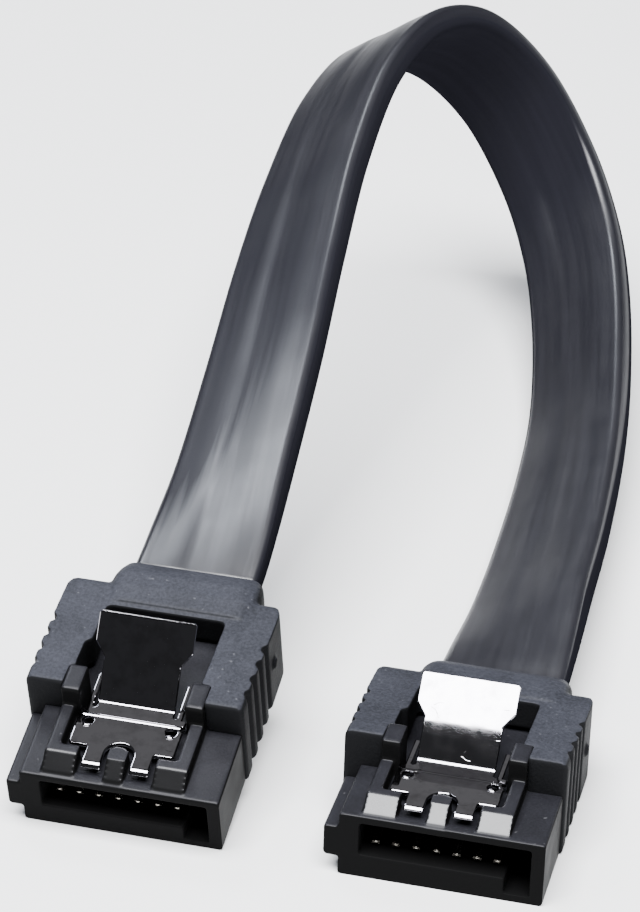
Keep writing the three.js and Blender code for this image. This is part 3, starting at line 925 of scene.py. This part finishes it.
def mixed(tree, factor, a, b):
    """A mix of two colours, each given as three numbers or as another node's output."""
    node = tree.nodes.new("ShaderNodeMix")
    node.data_type = "RGBA"
    for label, value in (("A", a), ("B", b)):
        socket = next(s for s in node.inputs if s.name == label and s.type == "RGBA")
        feed(tree, socket, value if isinstance(value, bpy.types.NodeSocket) else (*value, 1))
    tree.links.new(factor, node.inputs["Factor"])
    return next(s for s in node.outputs if s.type == "RGBA")


def mark(tree, label):
    """A number that is stored on the mesh's points, or 0 on a mesh without it."""
    node = tree.nodes.new("ShaderNodeAttribute")
    node.attribute_name = label
    return node.outputs["Fac"]


def facing_up(tree, wall, top):
    """How far a face looks up, from 0 on a wall to 1 on a top."""
    face = tree.nodes.new("ShaderNodeNewGeometry")
    parts = tree.nodes.new("ShaderNodeSeparateXYZ")
    ramp = tree.nodes.new("ShaderNodeMapRange")
    ramp.interpolation_type = "SMOOTHSTEP"
    tree.links.new(face.outputs["Normal"], parts.inputs["Vector"])
    tree.links.new(parts.outputs["Z"], ramp.inputs["Value"])
    feed(tree, ramp.inputs["From Min"], wall)
    feed(tree, ramp.inputs["From Max"], top)
    return ramp.outputs["Result"]


print("helpers are ready for", bpy.app.version_string)

# %% [markdown]
# ## What the finishes share
#
# Three node groups hold it: the grain and dust of a moulding, the smudges and fine scratches on
# handled metal, and how far a face looks up. A group only gives heights and masks, and each
# material then decides what they do to its colour, roughness and surface.

# %% Shared groups
def new_group(name, inputs, outputs):
    """A shader group with float sockets: inputs as {name: value} and outputs as names."""
    group = bpy.data.node_groups.new(name, "ShaderNodeTree")
    sockets = group.interface
    for label, value in inputs.items():
        socket = sockets.new_socket(label, in_out="INPUT", socket_type="NodeSocketFloat")
        socket.default_value = value
    for label in outputs:
        sockets.new_socket(label, in_out="OUTPUT", socket_type="NodeSocketFloat")
    return group, group.nodes.new("NodeGroupInput"), group.nodes.new("NodeGroupOutput")


def object_place(tree):
    return tree.nodes.new("ShaderNodeTexCoord").outputs["Object"]


def grain_group():
    """Height of a fine mould grain, broad patches and sparse specks of dust."""
    group, given, out = new_group("moulded_grain", {"Scale": 4000}, ["Height", "Patches", "Specks"])
    where = object_place(group)
    link = group.links.new
    link(noise(group, where, given.outputs["Scale"]), out.inputs["Height"])
    link(noise(group, where, 260), out.inputs["Patches"])
    link(remap(group, noise(group, where, 2600, 1), 0.74, 0.8, 0, 1), out.inputs["Specks"])
    return group


def thin_cracks(tree, where, cell_scale=520, width=0.03, bend_scale=700, bend=0.003):
    """Thin bent lines, which are the borders between scattered cells."""
    link = tree.links.new
    turbulence = tree.nodes.new("ShaderNodeTexNoise")
    turbulence.inputs["Scale"].default_value = bend_scale
    shift, bent = (tree.nodes.new("ShaderNodeVectorMath") for _ in range(2))
    shift.operation = "SCALE"
    shift.inputs["Scale"].default_value = bend
    bent.operation = "ADD"
    cells = tree.nodes.new("ShaderNodeTexVoronoi")
    cells.feature = "DISTANCE_TO_EDGE"
    cells.inputs["Scale"].default_value = cell_scale
    link(where, turbulence.inputs["Vector"])
    link(turbulence.outputs["Color"], shift.inputs[0])
    link(where, bent.inputs[0])
    link(shift.outputs["Vector"], bent.inputs[1])
    link(bent.outputs["Vector"], cells.inputs["Vector"])
    return remap(tree, cells.outputs["Distance"], 0, width, 1, 0)


def wear_group():
    """Soft smudges, a slow waviness and thin scratches for handled metal."""
    group, given, out = new_group("metal_wear", {"Scale": 900}, ["Smudges", "Waves", "Scratches"])
    where = object_place(group)
    link = group.links.new
    link(noise(group, where, given.outputs["Scale"], 3), out.inputs["Smudges"])
    link(noise(group, where, 420, 1), out.inputs["Waves"])
    sparse = remap(group, noise(group, where, 650, 1), 0.55, 0.65, 0, 1)
    link(combine(group, "MULTIPLY", thin_cracks(group, where), sparse), out.inputs["Scratches"])
    return group


def upward_group():
    group, given, out = new_group("upward", {"Wall": 0.25, "Top": 0.8}, ["Upward"])
    upward = facing_up(group, given.outputs["Wall"], given.outputs["Top"])
    group.links.new(upward, out.inputs["Upward"])
    return group


GRAIN, WEAR, UPWARD = grain_group(), wear_group(), upward_group()
print("groups:", GRAIN.name, WEAR.name, UPWARD.name)


def use_group(tree, group, **values):
    node = tree.nodes.new("ShaderNodeGroup")
    node.node_tree = group
    for label, value in values.items():
        node.inputs[label].default_value = value
    return node.outputs


# %% [markdown]
# ## The moulded plastics
#
# Both mouldings are black. What looks up and lies open is painted paler, a painted light on the tops,
# with a few specks of dust over it, and walls keep a darker painted shade, so the colour, the dust
# and the gloss all follow how far a face looks up. The fronts of the ramps are rubbed smooth and
# mirror the light overhead. The housing is smooth and the grip has a coarser, duller grain. The gloss
# reads that mask from nodes in the material itself, because a group only feeds colour, roughness and
# surface here.

# %% Plastics
PLASTIC_WALL, PLASTIC_TOP = 0.55, 0.85
DUST_COLOR = (0.2, 0.2, 0.21)
DUST_SHARE = 0.2
RUBBED_POLISH = -0.14
RUBBED_GLOSS = 0.38


def in_the_open(tree, upward):
    """The mask of what looks up, without the housing's low faces, which so keep the walls' dark
    painted shade.
    """
    return combine(tree, "MULTIPLY", upward, remap(tree, mark(tree, "sheltered"), 0, 1, 1, 0))


def moulded_plastic(name, painted_shade_wall_color, painted_light_top_colors, roughness, grain, depth, shine):
    """Black plastic over a fine grain, painted paler on what looks up and lies open as painted light,
    and darker on walls as painted shade.
    """
    material, tree, shader = new_material(name)
    link = tree.links.new
    grains = use_group(tree, GRAIN, Scale=grain)
    upward = use_group(tree, UPWARD, Wall=PLASTIC_WALL, Top=PLASTIC_TOP)["Upward"]
    # This mask lays the painted light on the tops, and also places the dust specks and the rubbed
    # polish there.
    painted_light_and_dust_mask = in_the_open(tree, upward)
    uneven = combine(
        tree,
        "ADD",
        remap(tree, grains["Patches"], 0.35, 0.65, 0, 0.4),
        remap(tree, grains["Height"], 0.35, 0.65, 0, 0.6),
    )
    # Painted light and shade: tops lean to the paler lit colours and walls keep the darker shaded
    # colour.
    tone = mixed(tree, painted_light_and_dust_mask, painted_shade_wall_color, mixed(tree, uneven, *painted_light_top_colors))
    dust = combine(tree, "MULTIPLY", grains["Specks"], combine(tree, "MULTIPLY", painted_light_and_dust_mask, DUST_SHARE))
    link(mixed(tree, dust, tone, DUST_COLOR), shader.inputs["Base Color"])
    link(raised(tree, grains["Height"], depth), shader.inputs["Normal"])
    rough = remap(tree, grains["Patches"], 0.3, 0.7, *roughness)
    rubbed = combine(tree, "MULTIPLY", painted_light_and_dust_mask, mark(tree, "rubbed"))
    polish = combine(tree, "MULTIPLY", rubbed, RUBBED_POLISH)
    link(combine(tree, "ADD", rough, polish), shader.inputs["Roughness"])
    glossy = in_the_open(tree, facing_up(tree, PLASTIC_WALL, PLASTIC_TOP))
    rubbed = combine(tree, "MULTIPLY", glossy, mark(tree, "rubbed"))
    gloss = combine(tree, "MULTIPLY", rubbed, RUBBED_GLOSS)
    sheen = remap(tree, glossy, 0, 1, *shine)
    link(combine(tree, "ADD", sheen, gloss), shader.inputs["Specular IOR Level"])
    return material


# Each plastic's wall colour is painted shade, and its two top colours are painted light over a random
# grain.
housing_plastic = moulded_plastic(
    "housing_plastic",
    painted_shade_wall_color=(0.0045, 0.0045, 0.0046),
    painted_light_top_colors=((0.007, 0.007, 0.0085), (0.015, 0.015, 0.0185)),
    roughness=(0.3, 0.42),
    grain=9000,
    depth=0.004 * MM,
    shine=(0.008, 0.15),
)
grip_plastic = moulded_plastic(
    "grip_plastic",
    painted_shade_wall_color=(0.008, 0.0082, 0.009),
    painted_light_top_colors=((0.013, 0.0137, 0.0173), (0.033, 0.0345, 0.0435)),
    roughness=(0.5, 0.62),
    grain=5200,
    depth=0.03 * MM,
    shine=(0.02, 0.12),
)
print("a plastic has", len(grip_plastic.node_tree.nodes), "nodes")

# %% [markdown]
# ## The ribbon's vinyl
#
# The jacket is a soft dark vinyl that was drawn through a die, so its sheen lies in long streaks.
# The photograph shows it glossy low on the first leg, in a wedge that narrows upwards, then dull,
# and glossy again from before the crest onwards. The map made with the mesh says how far along and
# how far round a spot is, and the wedge is worked out from those two.

# %% Ribbon vinyl
STREAK_STRETCH = 0.04
STREAK_SCALE, BLOTCH_SCALE = 1400, 300
VINYL_TONES = ((0.0075, 0.0075, 0.01), (0.012, 0.012, 0.016))
VINYL_WALL, VINYL_TOP = 0.5, 0.92
VINYL_GRAIN = 3200
VINYL_GLOSS = 0.9
DULL_SHARE = 0.25
# Where the top face begins and ends on the map. It runs from right to left there, and the rounded
# edge before it is shorter than a square one by about this share of its radius.
EDGE_SAVING = 0.9 * RIBBON_EDGE_RADIUS
TOP_RIGHT = RIBBON_WIDTH + RIBBON_THICKNESS - EDGE_SAVING
TOP_LEFT = TOP_RIGHT + RIBBON_WIDTH - 2 * RIBBON_EDGE_RADIUS


def ribbon_map(tree):
    """How far round and along the ribbon a spot is, with long streaks and blotches that follow it."""
    uv = tree.nodes.new("ShaderNodeUVMap")
    uv.uv_map = "along"
    parts = tree.nodes.new("ShaderNodeSeparateXYZ")
    drawn_out = tree.nodes.new("ShaderNodeCombineXYZ")
    around, along = parts.outputs["X"], parts.outputs["Y"]
    link = tree.links.new
    link(uv.outputs["UV"], parts.inputs["Vector"])
    link(around, drawn_out.inputs["X"])
    link(combine(tree, "MULTIPLY", along, STREAK_STRETCH), drawn_out.inputs["Y"])
    streaks = noise(tree, drawn_out.outputs["Vector"], STREAK_SCALE, 2)
    blotches = noise(tree, uv.outputs["UV"], BLOTCH_SCALE, 2)
    return around, along, streaks, blotches


def gleam(tree, around, along, streaks):
    """Full gloss in a wedge that narrows up from the first plug, and again from before the crest."""
    from_left = remap(tree, around, TOP_LEFT, TOP_RIGHT, 0, 1)
    near_wedge = remap(tree, along, 1 * MM, 12 * MM, -0.3, 0.3)
    far_wedge = remap(tree, along, 12 * MM, 24 * MM, 0, 0.3)
    wedge = combine(tree, "ADD", near_wedge, far_wedge)
    ragged = remap(tree, streaks, 0.3, 0.7, -0.12, 0.12)
    inside = combine(tree, "SUBTRACT", combine(tree, "ADD", from_left, ragged), wedge)
    low = remap(tree, along, 12 * MM, 25 * MM, 1, 0)
    low = combine(tree, "MULTIPLY", low, remap(tree, inside, 0, 0.25, 0, 1))
    far = remap(tree, along, 30 * MM, 48 * MM, 0, 1)
    return remap(tree, combine(tree, "MAXIMUM", low, far), 0, 1, DULL_SHARE, 1)


def ribbon_vinyl():
    """Soft jacket with long streaks of sheen and faint blotches."""
    material, tree, shader = new_material("cable_vinyl")
    link = tree.links.new
    around, along, streaks, blotches = ribbon_map(tree)
    grains = use_group(tree, GRAIN, Scale=VINYL_GRAIN)
    link(mixed(tree, streaks, *VINYL_TONES), shader.inputs["Base Color"])
    rough = remap(tree, streaks, 0.3, 0.7, 0.31, 0.39)
    rough = combine(tree, "ADD", rough, remap(tree, blotches, 0.35, 0.65, -0.02, 0.02))
    link(rough, shader.inputs["Roughness"])
    coarse = raised(tree, streaks, 0.006 * MM)
    link(raised(tree, grains["Height"], 0.003 * MM, coarse), shader.inputs["Normal"])
    sheen = remap(tree, facing_up(tree, VINYL_WALL, VINYL_TOP), 0, 1, 0, VINYL_GLOSS)
    sheen = combine(tree, "MULTIPLY", sheen, gleam(tree, around, along, streaks))
    link(sheen, shader.inputs["Specular IOR Level"])
    return material


cable_vinyl = ribbon_vinyl()
print("the vinyl has", len(cable_vinyl.node_tree.nodes), "nodes")

# %% [markdown]
# ## The metals
#
# The latch is polished spring steel, so it shows what stands round it more than any colour of its
# own. Smudges dull it in places, a slow wave bends what it mirrors, and a few thin scratches cross
# it. The contacts are plated and duller, so that they glint from many sides.

# %% Metals
def handled_metal(name, color, dull_color, roughness, wave, scratch):
    """Polished metal with smudges, slight waves and thin scratches."""
    material, tree, shader = new_material(name)
    link = tree.links.new
    wear = use_group(tree, WEAR)
    smudge = remap(tree, wear["Smudges"], 0.45, 0.75, 0, 1)
    link(mixed(tree, smudge, color, dull_color), shader.inputs["Base Color"])
    link(remap(tree, wear["Smudges"], 0.4, 0.75, *roughness), shader.inputs["Roughness"])
    waves = raised(tree, wear["Waves"], wave)
    link(raised(tree, wear["Scratches"], scratch, waves), shader.inputs["Normal"])
    shader.inputs["Metallic"].default_value = 1
    return material


latch_steel = handled_metal(
    "latch_steel",
    color=(0.46, 0.45, 0.48),
    dull_color=(0.32, 0.31, 0.33),
    roughness=(0.03, 0.07),
    wave=0.007 * MM,
    scratch=-0.002 * MM,
)
contact_metal = handled_metal(
    "contact_metal",
    color=(0.34, 0.32, 0.28),
    dull_color=(0.24, 0.22, 0.19),
    roughness=(0.2, 0.34),
    wave=0.002 * MM,
    scratch=-0.001 * MM,
)
print("metals:", latch_steel.name, contact_metal.name)

# %% [markdown]
# ## Dressing the pieces
#
# Each piece gets its finish. The contacts come last, because the tree that sets out their row also
# hands them their material. One row is made flat and plain, and a copy of it goes into each plug.

# %% Dressing
dress(ribbon, cable_vinyl)
for plug in PLUGS:
    dress(housings[plug], housing_plastic)
    dress(grips[plug], grip_plastic)
    dress(latches[plug], latch_steel)

blades = blade_row(contact_metal)
for plug in PLUGS:
    own = blades.copy()
    own.transform(to_table[plug])
    row = show(f"{plug}_contact_row", own)
    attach(row, ROOT)
    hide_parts(*[f"{plug}_contact_{i + 1}" for i in range(CONTACT_COUNT)])
print("a row of blades has", len(blades.polygons), "faces")

# %% [markdown]
# ## The table and the light
#
# The photograph shows the cable on plain white, so a wide white floor stands in for it. Steel shows
# what stands round it, so each soft box has its place. One overhead whitens the ramps and the flat
# plug's tab but stops short of what the tipped plug's tab mirrors. One at the left and back lays the
# broad grey sheen on the ribbon, and a faint one at the back greys the plates of the latches. The
# surroundings stay dark, so that what mirrors none of the three stays black.

# %% Stage
FLOOR_HALF = 1.5
FLOOR_COLOR = (0.9, 0.9, 0.9, 1)
LIGHT_AIM = Vector((0, 0.01, 0.005))
SKY_COLOR = (0.92, 0.95, 1.0, 1)
SKY_STRENGTH = 0.045


def make_floor():
    mesh = bpy.data.meshes.new("floor")
    corners = [(-1, -1), (1, -1), (1, 1), (-1, 1)]
    mesh.from_pydata([(x * FLOOR_HALF, y * FLOOR_HALF, 0) for x, y in corners], [], [(0, 1, 2, 3)])
    floor = show("floor", mesh)
    material, _, shader = new_material("floor")
    shader.inputs["Base Color"].default_value = FLOOR_COLOR
    shader.inputs["Roughness"].default_value = 0.9
    shader.inputs["Specular IOR Level"].default_value = 0.2
    dress(floor, material)


def softbox(name, place, size, watts, color):
    """A flat light at a place in metres that faces the object."""
    away = (Vector(place) - LIGHT_AIM).normalized()
    data = bpy.data.lights.new(name, "AREA")
    data.shape = "RECTANGLE"
    data.size, data.size_y = size
    data.energy = watts
    data.color = color
    light = show(name, data)
    light.location = place
    light.rotation_mode = "QUATERNION"
    light.rotation_quaternion = away.to_track_quat("Z", "Y")


def dim_surroundings():
    world = bpy.data.worlds.new("studio")
    world.use_nodes = True
    background = world.node_tree.nodes["Background"]
    background.inputs["Color"].default_value = SKY_COLOR
    background.inputs["Strength"].default_value = SKY_STRENGTH
    bpy.context.scene.world = world


make_floor()
softbox("overhead", place=(0, -0.182, 0.563), size=(0.56, 0.367), watts=18, color=(0.97, 0.98, 1))
softbox("left_back", place=(-0.28, 0.28, 0.47), size=(0.2, 0.17), watts=1.45, color=(0.86, 0.91, 1))
softbox("back", place=(-0.136, 0.385, 0.48), size=(0.55, 0.45), watts=0.13, color=(1, 1, 1))
dim_surroundings()
print("lights:", [light.name for light in bpy.data.lights])
